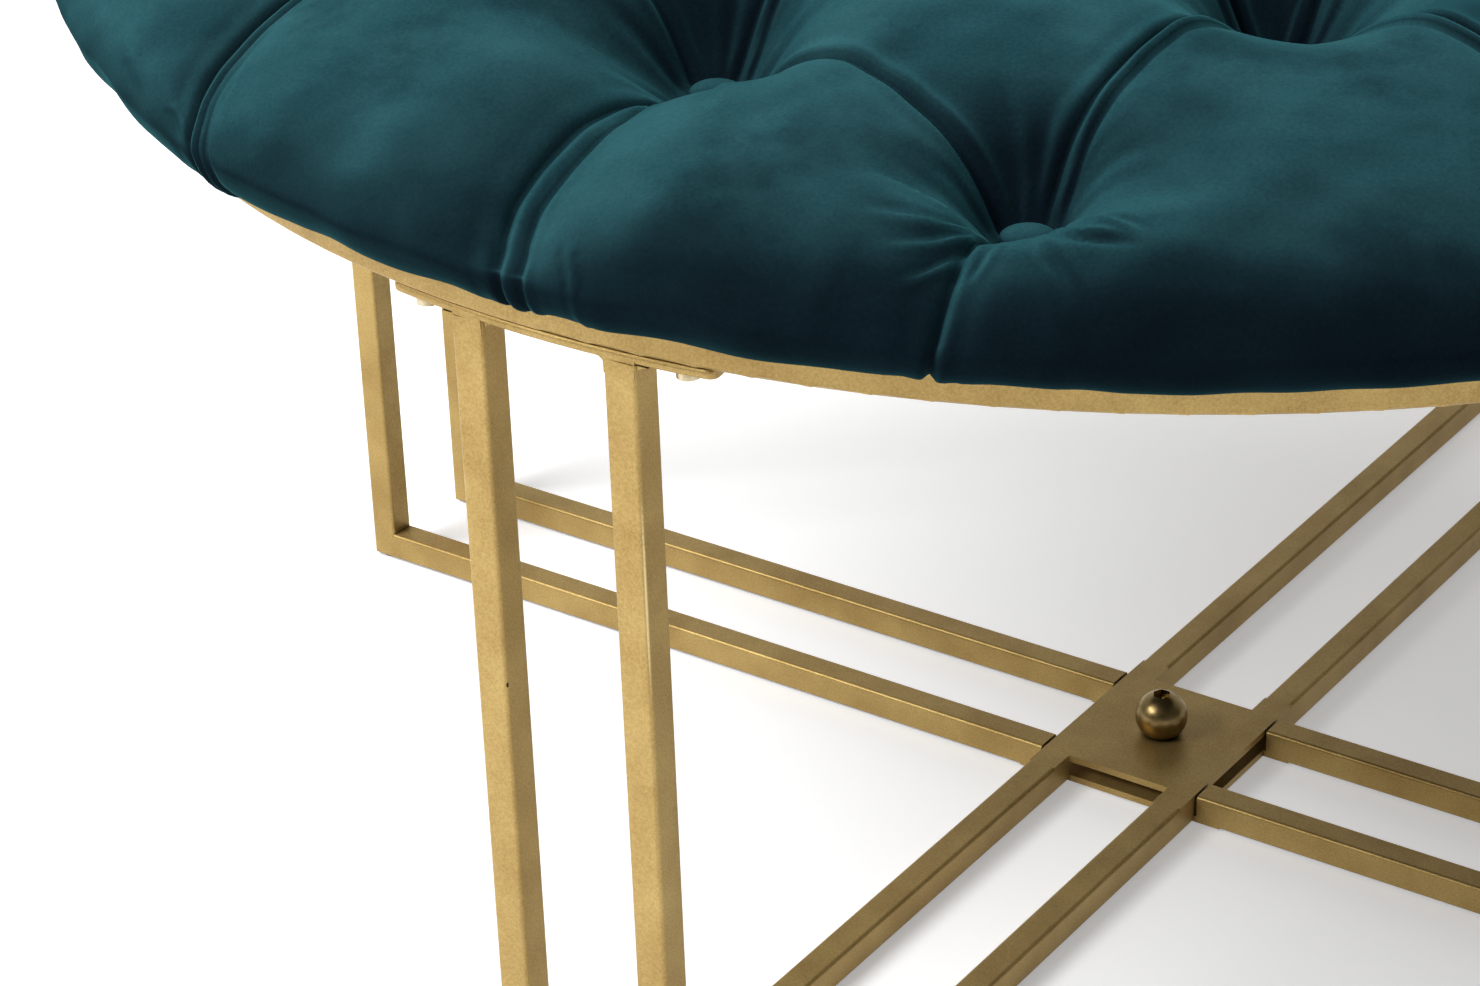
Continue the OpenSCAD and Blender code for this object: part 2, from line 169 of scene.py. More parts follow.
# Cut velvet, dyed teal: looking into the standing pile it is almost black. Its sheen is painted
# into the base colour: a lighter tone, as of lit fibre tips, by the angle of view and on upward
# faces (painted sheen and painted top light), with painted shade in the pits; brushed patches of
# pile lie the other way and show less of it
velvet = {
    # into is the velvet's own dark tone; along is the painted sheen tone, as of lit fibre tips
    "into": ((0.5, "#080E14"), (0.9, "#0C171E")),
    "along": ((0.5, "#1B3B41"), (0.9, "#2A5056")),
    "pileMm": 1.3, "pileShare": 0.35, "brushMm": 70.0, "strokeMm": 95.0,
    "paintedSheenSlant": {"From Min": -0.1, "From Max": 0.68, "interpolation_type": "SMOOTHSTEP"},
    "paintedTopLight": {"From Min": -0.1, "From Max": 0.7, "To Min": 0.18}, "paintedTopLightPower": 1.8,
    "stroked": {"From Min": 0.55, "From Max": 0.68, "To Min": 1.0, "To Max": 0.55},
    # Painted shade in the pits and folds, by ambient occlusion over the reach below, wider for
    # the buttons
    "pitShadePainted": {"From Min": 0.3, "From Max": 0.72, "To Min": 0.05},
    "pitShadeMm": 45.0, "buttonPitShadeMm": 90.0,
    "bump": 0.25, "bumpMm": 0.6, "roughness": 0.75,
    "sheen": "#4E989E", "sheenWeight": 0.35, "sheenRoughness": 0.35,
}


def velvetMaterial(name, pitShadeMm):
    mat, tree, place = newMaterial(name)
    brush = addNode(tree, "ShaderNodeTexNoise", {
        "Vector": place, "Scale": 1000 / velvet["brushMm"],
        "Detail": 4.0, "Roughness": 0.55, "Distortion": 0.6,
    }).outputs["Fac"]
    pile = addNode(tree, "ShaderNodeTexNoise", {
        "Vector": place, "Scale": 1000 / velvet["pileMm"], "Detail": 2.0,
    }).outputs["Fac"]
    stroke = addNode(tree, "ShaderNodeTexNoise", {
        "Vector": place, "Scale": 1000 / velvet["strokeMm"], "Detail": 6.0, "Roughness": 0.65,
    }).outputs["Fac"]
    tone = addNode(tree, "ShaderNodeMath", {
        "operation": "MULTIPLY_ADD", 0: pile, 1: velvet["pileShare"], 2: brush,
    }).outputs["Value"]
    into = addNode(tree, "ShaderNodeValToRGB", {"Fac": tone, "stops": velvet["into"]})
    along = addNode(tree, "ShaderNodeValToRGB", {"Fac": tone, "stops": velvet["along"]})

    # Share of the painted light: painted sheen by the angle of view, painted top light on upward
    # faces, less on the brushed strokes, and painted shade in the pits
    paintedSheenSlant = addNode(tree, "ShaderNodeLayerWeight", {"Blend": 0.5}).outputs["Facing"]
    paintedSheenByView = addNode(tree, "ShaderNodeMapRange", {"Value": paintedSheenSlant, **velvet["paintedSheenSlant"]})
    normal = addNode(tree, "ShaderNodeNewGeometry").outputs["Normal"]
    upward = addNode(tree, "ShaderNodeSeparateXYZ", {"Vector": normal}).outputs["Z"]
    upward = addNode(tree, "ShaderNodeMapRange", {"Value": upward, **velvet["paintedTopLight"]})
    paintedTopLight = addNode(tree, "ShaderNodeMath", {
        "operation": "POWER", 0: upward.outputs["Result"], 1: velvet["paintedTopLightPower"],
    })
    stroked = addNode(tree, "ShaderNodeMapRange", {"Value": stroke, **velvet["stroked"]})
    # Ambient occlusion paints shade into the pits and folds of the velvet
    openToPaintedShade = addNode(tree, "ShaderNodeAmbientOcclusion", {
        "samples": 8, "Distance": pitShadeMm * mm,
    }).outputs["AO"]
    pitShadePainted = addNode(tree, "ShaderNodeMapRange", {"Value": openToPaintedShade, **velvet["pitShadePainted"]})
    share = paintedSheenByView.outputs["Result"]
    for other in (paintedTopLight, stroked, pitShadePainted):
        share = addNode(tree, "ShaderNodeMath", {
            "operation": "MULTIPLY", 0: share, 1: other.outputs[0],
        }).outputs["Value"]
    # Painted sheen, painted top light and painted pit shade mixed into the base colour
    colour = addNode(tree, "ShaderNodeMix", {
        "data_type": "RGBA", 0: share, 6: into.outputs["Color"], 7: along.outputs["Color"],
    }).outputs[2]

    bump = addNode(tree, "ShaderNodeBump", {
        "Height": pile, "Strength": velvet["bump"], "Distance": velvet["bumpMm"] * mm,
    })
    shader = addNode(tree, "ShaderNodeBsdfPrincipled", {
        "Base Color": colour, "Normal": bump.outputs["Normal"],
        "Roughness": velvet["roughness"], "Specular IOR Level": 0.0,
        "Sheen Weight": velvet["sheenWeight"], "Sheen Roughness": velvet["sheenRoughness"],
        "Sheen Tint": linear(velvet["sheen"]),
    })
    addNode(tree, "ShaderNodeOutputMaterial", {"Surface": shader.outputs["BSDF"]})
    return mat


# Sprayed metallic paint on steel tube: satin, with the flake showing as fine grit, cloudy where
# the coats overlap, and painted shade in the corners, along the welds and in the grooves
goldPaint = {
    "stops": ((0.55, "#987B47"), (1.0, "#BA9F64")),
    "flakeMm": 0.9, "cloudMm": 22.0, "cloudShare": 0.6,
    # corner is the colour of the painted shade in corners and grooves
    "corner": "#2A1D10", "cornerShadeMm": 7.0, "outsideCornerShade": {"From Min": 0.12, "From Max": 0.5},
    "bump": 0.4, "bumpMm": 0.08, "roughness": 0.42, "metallic": 0.55, "gloss": 0.12,
    "outsideMark": {"From Min": 1.2, "From Max": 1.5},
}

# Marks in the paint that the photograph shows on the front legs: a chip and a rubbed edge
paintMarks = [
    {"at": (-24.3, -409.3, 240.2), "size": (0.6, 0.6, 1.2), "colour": "#3A2816"},
    {"at": (36.9, -409.6, 292.0), "size": (0.6, 0.6, 46.0), "colour": "#DCC893"},
]


def goldPaintMaterial(name):
    mat, tree, place = newMaterial(name)
    flake = addNode(tree, "ShaderNodeTexNoise", {
        "Vector": place, "Scale": 1000 / goldPaint["flakeMm"], "Detail": 3.0,
        "Roughness": 0.75,
    }).outputs["Fac"]
    cloud = addNode(tree, "ShaderNodeTexNoise", {
        "Vector": place, "Scale": 1000 / goldPaint["cloudMm"], "Detail": 4.0,
    }).outputs["Fac"]
    tone = addNode(tree, "ShaderNodeMath", {
        "operation": "MULTIPLY_ADD", 0: cloud, 1: goldPaint["cloudShare"], 2: flake,
    }).outputs["Value"]
    coat = addNode(tree, "ShaderNodeValToRGB", {"Fac": tone, "stops": goldPaint["stops"]})
    # Ambient occlusion paints shade into the corners, along the welds and in the groove under the
    # ring
    openToPaintedShade = addNode(tree, "ShaderNodeAmbientOcclusion", {
        "samples": 8, "Distance": goldPaint["cornerShadeMm"] * mm,
    }).outputs["AO"]
    outsideCornerShade = addNode(tree, "ShaderNodeMapRange", {"Value": openToPaintedShade, **goldPaint["outsideCornerShade"]})
    colour = addNode(tree, "ShaderNodeMix", {
        "data_type": "RGBA", 0: outsideCornerShade.outputs["Result"],
        6: linear(goldPaint["corner"]), 7: coat.outputs["Color"],
    }).outputs[2]

    for mark in paintMarks:
        offset = addNode(tree, "ShaderNodeVectorMath", {
            "operation": "SUBTRACT", 0: place, 1: tuple(c * mm for c in mark["at"]),
        }).outputs["Vector"]
        scaled = addNode(tree, "ShaderNodeVectorMath", {
            "operation": "DIVIDE", 0: offset, 1: tuple(c * mm for c in mark["size"]),
        }).outputs["Vector"]
        far = addNode(tree, "ShaderNodeVectorMath", {"operation": "LENGTH", 0: scaled})
        ragged = addNode(tree, "ShaderNodeMath", {
            "operation": "ADD", 0: far.outputs["Value"], 1: flake,
        }).outputs["Value"]
        outside = addNode(tree, "ShaderNodeMapRange", {
            "Value": ragged, **goldPaint["outsideMark"],
        })
        colour = addNode(tree, "ShaderNodeMix", {
            "data_type": "RGBA", 0: outside.outputs["Result"],
            6: linear(mark["colour"]), 7: colour,
        }).outputs[2]

    bump = addNode(tree, "ShaderNodeBump", {
        "Height": flake, "Strength": goldPaint["bump"], "Distance": goldPaint["bumpMm"] * mm,
    })
    shader = addNode(tree, "ShaderNodeBsdfPrincipled", {
        "Base Color": colour, "Normal": bump.outputs["Normal"],
        "Metallic": goldPaint["metallic"], "Specular IOR Level": goldPaint["gloss"],
        "Roughness": goldPaint["roughness"],
    })
    addNode(tree, "ShaderNodeOutputMaterial", {"Surface": shader.outputs["BSDF"]})
    return mat


# Tumbled brass: a soft warm shine with faint wiping marks, and painted shade in the hex socket
brass = {
    "stops": ((0.3, "#8E7A50"), (0.7, "#A68F60")), "wipeMm": 4.55,
    "roughness": {"To Min": 0.26, "To Max": 0.4},
    "socket": "#120D06", "socketMm": 5.0, "outside": {"From Min": 0.15, "From Max": 0.6},
}


def tumbledBrassMaterial(name):
    mat, tree, place = newMaterial(name)
    wipe = addNode(tree, "ShaderNodeTexNoise", {
        "Vector": place, "Scale": 1000 / brass["wipeMm"], "Detail": 3.0,
    }).outputs["Fac"]
    metal = addNode(tree, "ShaderNodeValToRGB", {"Fac": wipe, "stops": brass["stops"]})
    # Ambient occlusion paints shade into the hex socket and other hollows of the ball
    openToPaintedShade = addNode(tree, "ShaderNodeAmbientOcclusion", {
        "samples": 8, "Distance": brass["socketMm"] * mm,
    }).outputs["AO"]
    outside = addNode(tree, "ShaderNodeMapRange", {"Value": openToPaintedShade, **brass["outside"]})
    colour = addNode(tree, "ShaderNodeMix", {
        "data_type": "RGBA", 0: outside.outputs["Result"],
        6: linear(brass["socket"]), 7: metal.outputs["Color"],
    }).outputs[2]
    rough = addNode(tree, "ShaderNodeMapRange", {"Value": wipe, **brass["roughness"]})
    shader = addNode(tree, "ShaderNodeBsdfPrincipled", {
        "Base Color": colour, "Roughness": rough.outputs["Result"], "Metallic": 1.0,
    })
    addNode(tree, "ShaderNodeOutputMaterial", {"Surface": shader.outputs["BSDF"]})
    return mat


# Plain finish in two soft tones, its grain drawn out along an axis by stretch
plain = {"stops": (0.35, 0.65), "bump": 0.3, "bumpMm": 0.4}


def plainMaterial(name, dark, light, grainMm, roughness, metallic=0.0, stretch=(1, 1, 1)):
    mat, tree, place = newMaterial(name)
    spread = addNode(tree, "ShaderNodeMapping", {"Scale": stretch, "Vector": place})
    grain = addNode(tree, "ShaderNodeTexNoise", {
        "Vector": spread.outputs["Vector"], "Scale": 1000 / grainMm, "Detail": 4.0,
    }).outputs["Fac"]
    tone = addNode(tree, "ShaderNodeValToRGB", {
        "Fac": grain, "stops": zip(plain["stops"], (dark, light)),
    })
    bump = addNode(tree, "ShaderNodeBump", {
        "Height": grain, "Strength": plain["bump"], "Distance": plain["bumpMm"] * mm,
    })
    shader = addNode(tree, "ShaderNodeBsdfPrincipled", {
        "Base Color": tone.outputs["Color"], "Normal": bump.outputs["Normal"],
        "Roughness": roughness, "Metallic": metallic,
    })
    addNode(tree, "ShaderNodeOutputMaterial", {"Surface": shader.outputs["BSDF"]})
    return mat


finishes = {
    "velvet": velvetMaterial("tealCutVelvet", velvet["pitShadeMm"]),
    # The buttons' velvet takes its painted pit shade from a wider reach
    "button_velvet": velvetMaterial("tealCutVelvetButton", velvet["buttonPitShadeMm"]),
    "gold_paint": goldPaintMaterial("sprayedGoldPaint"),
    "screw_steel": plainMaterial("zincPlatedSteel", "#A89878", "#C9BC9C", 3.0, 0.35, 0.9),
    "polished_brass": tumbledBrassMaterial("tumbledBrass"),
    "twine": plainMaterial("waxedFlaxTwine", "#B9A986", "#D8CBA8", 1.5, 0.7),
    "foam": plainMaterial("cutFoam", "#D9CFA6", "#EDE6C8", 2.0, 0.9),
    "plywood": plainMaterial("birchPlywood", "#B58E5C", "#D2AE7C", 9.0, 0.65, 0.0, (1, 0.08, 1)),
    "insert_brass": plainMaterial("turnedBrass", "#B08A46", "#C9A25C", 3.0, 0.35, 1.0),
    "dust_cloth": plainMaterial("blackNonWovenCloth", "#0B0B0C", "#18181A", 1.2, 0.92),
    "staple_steel": plainMaterial("galvanisedWire", "#8F9194", "#B4B6B8", 2.0, 0.4, 1.0),
    "nut_steel": plainMaterial("plainSteel", "#4C4B49", "#65635F", 3.0, 0.45, 1.0),
    "pad_rubber": plainMaterial("blackRubber", "#0D0D0D", "#1B1B1B", 2.5, 0.8),
}


def dressFrame():
    slots = {row["node"]: row["material_slot"] for row in frame["record"]["subparts"]}
    for name, obj in frame["nodes"].items():
        finish = finishes[slots[name]]
        if not obj.material_slots:
            obj.data.materials.append(finish)
        for place in obj.material_slots:
            place.material = finish


dressFrame()
print("frame dressed")


# Cushion, in mm until its mesh is made. Its surface is laid out on a flat plan: up to the
# shoulder a plan point is straight below its place, and past it the plan's radius goes on
# along the side down to the hem and in under the board
cushion = {
    "halfShort": 94.5, "halfLong": 120.0, "shift": 7.0, "turn": 36.0,
    "buttonZone": 392.0, "mostCells": 5,
    "boardTop": 406.7, "dimpleLow": 4.2, "dimpleRise": 9.0, "widest": 437.0,
    "profile": [
        (0, 476), (120, 475.2), (240, 470.5), (320, 461), (370, 452), (400, 444), (418, 437),
        (430, 426.5), (436.5, 412), (434, 402.5), (428.5, 396.8), (422, 394.4), (412, 394.2),
        (399, 394.2), (390, 394.2),
    ],
    "profileSteps": 40, "slopeStep": 1.5,
    "shoulder": 400.0, "topAbove": 430.0, "underside": 394.2,
    "fineStep": 1.15, "fineBand": 8.0, "stepGrowth": 1.12, "coarseStep": 2.6,
    "leanSpan": (385, 470),
    "hemBroad": (14, 50), "hemSharp": (14, 30), "hemSink": (25, 60),
    "wander": 2.2, "wanderSpan": (12, 50), "wanderSize": 150, "wanderSeeds": (21, 22),
    "lump": 0.7, "lumpSize": 60, "lumpSeed": 3,
    "quilt": 0.25, "quiltSize": 22, "quiltSeed": 4,
}

# Dimples: a steep throat, gentler towards the hem, that reaches less far along a fold and
# towards the rim. Round each button the velvet lies just below the button's edge
pit = {
    "reach": 80.0, "reachOnFold": 72.0, "foldWidth": 4.0, "foldSpread": 0.35, "furthest": 90.0,
    "throat": 0.63, "hemSide": 0.56, "hemTurn": (-0.3, 0.75), "rimShoulder": 413.0,
    "seat": 0.8, "floorRise": 3.5, "floorRadius": 10.0, "seatSpan": (7.5, 14), "seatReach": 16.0,
}

# Folds between the buttons: a broad valley with a crease along it, and beside the crease a
# ridge, a slight dip, and on one side a lap of velvet that ends in a small crease
fold = {
    "valleyDepth": 4.5, "valleyReach": 52.0, "valleyShape": 2.4,
    "creaseDepth": 3.2, "creaseWidth": 1.5,
    "ridgeHeight": 1.5, "ridgeAt": 3.8, "ridgeWidth": 1.7, "ridgeShare": (0.1, 1.2),
    "ridgeSway": 0.25, "swayLength": 17.0,
    "dipDepth": 0.5, "dipAt": 8.5, "dipWidth": 3.0,
    "lapHeight": 1.1, "lapAt": 5.0, "lapWiden": 4.0, "lapRise": (0.5, 2.5), "lapFall": 1.8,
    "lapReach": 30.0, "lapCrease": 1.2, "lapCreaseAt": 1.6, "lapCreaseWidth": 1.2,
    "seed": 5,
}

# Pleats run on from the outer buttons over the shoulder to the hem. Some are a flat tuck of
# velvet, the band, that lies between two creases
pleat = {
    "depth": 10.0, "start": (0, 0.3), "strength": 1.2, "strengthStart": (0, 0.2),
    "sideFade": 0.95, "sideSpan": (412, 474), "detailFade": 0.3,
    "turnReach": 95.0, "turnFrom": 370.0, "turnEnd": 25.0,
    "bandStart": (0.08, 0.3), "bandSpan": (1, 4),
    "tuckDepth": 2.4, "tuckWidth": 1.3,
    "tuckRidge": 1.3, "tuckRidgeAt": 2.8, "tuckRidgeWidth": 1.7,
    "bulge": 0.9, "bulgeShare": 0.3, "bulgeLeast": 0.1,
    "calm": 0.85, "calmStart": (0.1, 0.3), "calmReach": 18.0,
}

# How far each pleat that starts at a button turns on its way down the side, in degrees
pleatTurn = {(-1, -3): 2.1, (-2, -2): 1.8, (-3, -1): 0.8, (1, -3): -2.0, (2, -2): 1.5}

# Folds and pleats that show most: the ridge on the left and on the right of their way, and
# the side of the lap
shownLines = {
    ((-2, -2), (-1, -3)): (1.1, 0.15, 0), ((-1, -3), (0, -2)): (0.2, 0.9, -1),
    ((-3, -1), (-2, -2)): (1.3, 0.2, 0), ((-2, -2), None): (0.3, 0.0, 0),
    ((-1, -3), None): (0.2, 0.1, 0), ((-3, -1), None): (0.8, 0.1, 1),
}

# Folds that lie deeper or shallower than the others
foldSink = {((-2, -2), (-1, -3)): 2.0, ((-1, -3), (0, -2)): 0.45}

# Pleats that are deeper on the side than the others
pleatStrength = {(-1, -3): 1.25, (-2, -2): 1.8, (-3, -1): 1.35}

# Width of the band to the left of a pleat's way
pleatBand = {(-2, -2): 9.5, (-3, -1): 5.0, (1, -3): 8.0, (3, 1): 9.0, (-3, 3): 8.0}

# Fine gathers that run out from each button
gather = {
    "height": 0.5, "counts": (9, 13, 17, 22), "share": (0.4, 1),
    "rise": (9, 17), "fall": (20, 46), "reach": 60.0, "seed": 100,
}

# Extra creases, laps and wrinkles by the front buttons: a line of plan places, its depth and
# width, and the height, distance and width of the ridge to its left, or right where negative
creases = [
    ([(23, -430), (25, -438), (29, -446), (31, -462), (33, -490)], 1.3, 1.1, 1.4, 2.2, 1.3),
    ([(156, -368), (163, -375), (171, -380), (178, -385), (187, -396)], 2.2, 1.5, 1.7, 3.4, 2.0),
    ([(138, -368), (134, -381), (126, -391), (118, -398)], 2.2, 1.5, 1.6, 3.2, 1.8),
    ([(135, -364), (129, -375), (116, -383), (106, -387)], 2.2, 1.5, 1.6, 3.2, 1.8),
    ([(131, -357), (121, -363), (108, -366), (98, -372)], 1.8, 1.5, 1.4, 3.2, 1.8),
    ([(142, -371), (140, -386), (135, -400), (130, -410)], 1.8, 1.4, 1.4, 3.0, 1.7),
    ([(148, -372), (150, -386), (151, -397)], 1.4, 1.3, 1.1, 2.8, 1.6),
    ([(157, -362), (168, -367), (179, -366), (194, -363)], 2.4, 1.5, 1.9, 3.4, 2.0),
    ([(156, -348), (168, -350), (180, -354), (192, -356)], 1.8, 1.5, 1.5, -3.4, 2.0),
    ([(-148, -375), (-143, -391), (-141, -405), (-139, -415)], 1.2, 1.2, 0.8, 2.8, 1.6),
    ([(-171, -409), (-164, -417), (-156, -432)], 0.9, 1.8, 0.8, 4.0, 2.4),
    ([(-204, -388), (-197, -397), (-191, -405)], 0.9, 2.0, 0.8, 4.4, 2.6),
]
creaseLine = {"steps": 5, "margin": 15.0, "fadeIn": (0, 0.15), "fadeOut": (0.55, 1)}


def smoothStep(x, low, high):
    t = np.clip((x - low) / (high - low), 0, 1)
    return t * t * (3 - 2 * t)


# Height 1 at a place, falling off smoothly to both sides
def hump(x, at, width):
    return np.exp(-((x - at) / width) ** 2)


def turned(points, degrees):
    c, s = np.cos(np.radians(degrees)), np.sin(np.radians(degrees))
    return np.stack([points[..., 0] * c - points[..., 1] * s,
                     points[..., 0] * s + points[..., 1] * c], axis=-1)


def latticePlace(i, j):
    flat = np.stack([cushion["shift"] + cushion["halfShort"] * np.asarray(i, float),
                     cushion["halfLong"] * np.asarray(j, float)], axis=-1)
    return turned(flat, cushion["turn"])


def isButton(i, j):
    far = math.hypot(cushion["halfShort"] * i, cushion["halfLong"] * j)
    return (i + j) % 2 == 0 and far < cushion["buttonZone"]


cellRange = range(-cushion["mostCells"], cushion["mostCells"] + 1)
buttonCells = [(i, j) for i in cellRange for j in cellRange if isButton(i, j)]
buttonPlaces = latticePlace(*np.array(buttonCells).T)


def dimpleFloor(radius):
    rise = cushion["dimpleRise"] * (1 - (radius / cushion["widest"]) ** 2)
    return cushion["boardTop"] + cushion["dimpleLow"] + rise


def catmullRom(points, count):
    p = np.array(points, float)
    p = np.vstack([2 * p[0] - p[1], p, 2 * p[-1] - p[-2]])
    out = []
    for k in range(1, len(p) - 2):
        t = np.linspace(0, 1, count, endpoint=False)[:, None]
        a, b, c, d = p[k - 1:k + 3]
        out.append(0.5 * (2 * b + (c - a) * t + (2 * a - 5 * b + 4 * c - d) * t ** 2
                          + (3 * b - a - 3 * c + d) * t ** 3))
    return np.vstack(out + [p[-2:-1]])


# Profile by plan radius: the radius itself up to the shoulder, then the length along the side
profileLine = catmullRom(cushion["profile"], cushion["profileSteps"])
onTop = ((profileLine[:, 0] <= cushion["shoulder"])
         & (profileLine[:, 1] > cushion["topAbove"]))
lastTop = int(np.nonzero(onTop)[0].max())
sideLength = np.r_[0, np.cumsum(np.hypot(*np.diff(profileLine[lastTop:], axis=0).T))]
planRadius = np.r_[profileLine[:lastTop, 0], profileLine[lastTop, 0] + sideLength]
planEnd = planRadius[-1]


def profileAt(radius):
    return [np.interp(radius, planRadius, profileLine[:, axis]) for axis in (0, 1)]


def basePlace(plan):
    radius = np.maximum(np.hypot(plan[:, 0], plan[:, 1]), tiny)
    r, z = profileAt(radius)
    onPlan = np.minimum(radius, planEnd)
    r1, z1 = profileAt(np.minimum(onPlan + cushion["slopeStep"], planEnd))
    r0, z0 = profileAt(np.maximum(onPlan - cushion["slopeStep"], 0))
    along = np.stack([r1 - r0, z1 - z0], axis=1)
    along /= np.maximum(np.linalg.norm(along, axis=1), tiny)[:, None]
    outward = plan / radius[:, None]
    place = np.column_stack([outward * r[:, None], z])
    normal = np.column_stack([outward * -along[:, 1:], along[:, 0]])
    return place, normal


# Folds join neighbouring buttons, and one pleat runs on from each outer button to the hem.
# A line is its two cells, where a pleat has no second one, its start and its end
def foldLines():
    folds, pleats = [], []
    for i, j in buttonCells:
        start = latticePlace(i, j)
        for other in ((i + 1, j - 1), (i + 1, j + 1)):
            if isButton(*other):
                folds.append((((i, j), other), start, latticePlace(*other)))
        step = (int(np.sign(i)) * (2 if j == 0 else 1), int(np.sign(j)))
        if i != 0 and not isButton(i + step[0], j + step[1]):
            way = latticePlace(i + step[0], j + step[1]) - start
            way /= np.linalg.norm(way)
            b = start @ way
            far = -b + math.sqrt(b * b + planEnd ** 2 - start @ start)
            pleats.append((((i, j), None), start, start + way * far))
    return folds + pleats, len(folds)


lines, foldCount = foldLines()
cellsOf = [cells for cells, _, _ in lines]
foldDepth = np.array([foldSink.get(cells, 1.0) for cells in cellsOf])
pleatCells = [cells[0] for cells in cellsOf[foldCount:]]
strengths = [pleatStrength.get(cell, pleat["strength"]) for cell in pleatCells]
lineStrength = np.r_[np.ones(foldCount), strengths]
lineBand = np.r_[np.zeros(foldCount), [pleatBand.get(cell, 0.0) for cell in pleatCells]]


def segmentFrame(plan, start, end):
    way = end - start
    length = np.linalg.norm(way)
    way = way / length
    rel = plan - start
    along = np.clip(rel @ way, 0, length)
    across = rel[:, 0] * -way[1] + rel[:, 1] * way[0]
    gap = np.linalg.norm(rel - along[:, None] * way, axis=1)
    return along, length, across, gap


# Sum of waves that run every way, about size mm long and 1 high
waves = {"count": 7, "spread": (0.7, 1.5), "level": 2.6}


def softNoise(plan, size, seed):
    draw = np.random.default_rng(seed)
    total = np.zeros(len(plan))
    for _ in range(waves["count"]):
        angle = draw.uniform(0, 2 * math.pi)
        wave = 2 * math.pi / (size * draw.uniform(*waves["spread"]))
        total += np.sin((plan[:, 0] * math.cos(angle) + plan[:, 1] * math.sin(angle)) * wave
                        + draw.uniform(0, 2 * math.pi))
    return total / waves["level"]


# Number of cells from the middle to past the rim, by a diamond's least width
def cellsToRim():
    narrowest = 2 / math.hypot(1 / cushion["halfShort"], 1 / cushion["halfLong"])
    return math.ceil(planEnd / narrowest) + 1


# Lines of the grid run along the folds, close together at each fold and wider between
def gridLines():
    half = math.hypot(cushion["halfShort"], cushion["halfLong"]) / 2
    steps = []
    while sum(steps) < half:
        inBand = sum(steps) < cushion["fineBand"]
        steps.append(cushion["fineStep"] if inBand
                     else min(steps[-1] * cushion["stepGrowth"], cushion["coarseStep"]))
    at = np.cumsum(steps) / sum(steps) / 2
    cell = np.r_[0, at, 1 - at[:-1][::-1]]
    return np.concatenate([cell + k for k in range(-cellsToRim(), cellsToRim())])


def latticeMesh(gridAt):
    u, v = np.meshgrid(gridAt, gridAt, indexing="ij")
    flat = np.stack([cushion["shift"] + cushion["halfShort"] * (u + v),
                     cushion["halfLong"] * (u - v)], axis=-1)
    plan = turned(flat, cushion["turn"]).reshape(-1, 2)
    radius = np.hypot(plan[:, 0], plan[:, 1])
    corner = np.arange(u.size).reshape(u.shape)
    quads = np.stack([corner[:-1, :-1], corner[:-1, 1:], corner[1:, 1:], corner[1:, :-1]], -1)
    quads = quads.reshape(-1, 4)
    quads = quads[(radius[quads] < planEnd).all(axis=1)]
    used, inverse = np.unique(quads, return_inverse=True)
    return plan[used], inverse.reshape(quads.shape), used


def nearestButton(plan):
    return np.min([np.hypot(*(plan - centre).T) for centre in buttonPlaces], axis=0)


# 0 near the plan's end, under the board, and 1 further in
def clearOfHem(radius, lengths):
    return smoothStep(radius, planEnd - lengths[0], planEnd - lengths[1])


# The folds wander a little, and the pleats turn on the side
def wanderedPlan(plan):
    free = (cushion["wander"] * smoothStep(nearestButton(plan), *cushion["wanderSpan"]))[:, None]
    out = plan + free * np.column_stack([
        softNoise(plan, cushion["wanderSize"], seed) for seed in cushion["wanderSeeds"]
    ])
    radius = np.hypot(plan[:, 0], plan[:, 1])
    down = smoothStep(radius, pleat["turnFrom"], planEnd - pleat["turnEnd"])
    turn = np.zeros(len(plan))
    for (cell, _), start, end in lines[foldCount:]:
        gap = segmentFrame(plan, start, end)[3]
        beside = np.clip(1 - (gap / pleat["turnReach"]) ** 2, 0, 1) ** 2
        turn += pleatTurn.get(cell, 0.0) * beside * down
    return turned(out, turn)


# Each plan point's nearest line: its number, the gap to it, the side of it, the place along
# it, and on a pleat how far down, from 0 at the button to 1 at the hem
def foldField(plan):
    blank = np.zeros(len(plan))
    field = SimpleNamespace(gap=np.full(len(plan), np.inf), side=blank, along=blank,
                            pleat=blank, line=np.zeros(len(plan), int))
    for k, (_, start, end) in enumerate(lines):
        along, length, across, gap = segmentFrame(plan, start, end)
        down = along / length if k >= foldCount else 0.0
        nearer = gap < field.gap
        for name, value in (("gap", gap), ("side", across), ("along", along),
                            ("pleat", down), ("line", k)):
            setattr(field, name, np.where(nearer, value, getattr(field, name)))
    return field


def bandAt(field):
    return lineBand[field.line] * smoothStep(field.pleat, *pleat["bandStart"])


def pitDrop(plan, gap, centre):
    rho = np.hypot(*(plan - centre).T)
    r0 = np.linalg.norm(centre)
    deep = profileAt(r0)[1] - dimpleFloor(r0) - fold["valleyDepth"]
    onFold = hump(gap, 0, pit["foldWidth"] + pit["foldSpread"] * rho)
    reach = pit["reach"] + (pit["reachOnFold"] - pit["reach"]) * onFold
    outward = ((plan - centre) @ centre) / np.maximum(rho * r0, tiny)
    toHem = smoothStep(outward, *pit["hemTurn"])
    toRim = min(pit["rimShoulder"] - r0, pit["reach"])
    reach += (np.minimum(toRim, reach) - reach) * toHem
    share = np.minimum(rho / reach, 1)
    steep = (1 - share ** 2) ** 2 / (1 + (rho / (pit["throat"] * deep)) ** 3)
    gentle = (1 + np.cos(math.pi * share)) / 2
    return deep * (steep + (gentle - steep) * pit["hemSide"] * toHem)


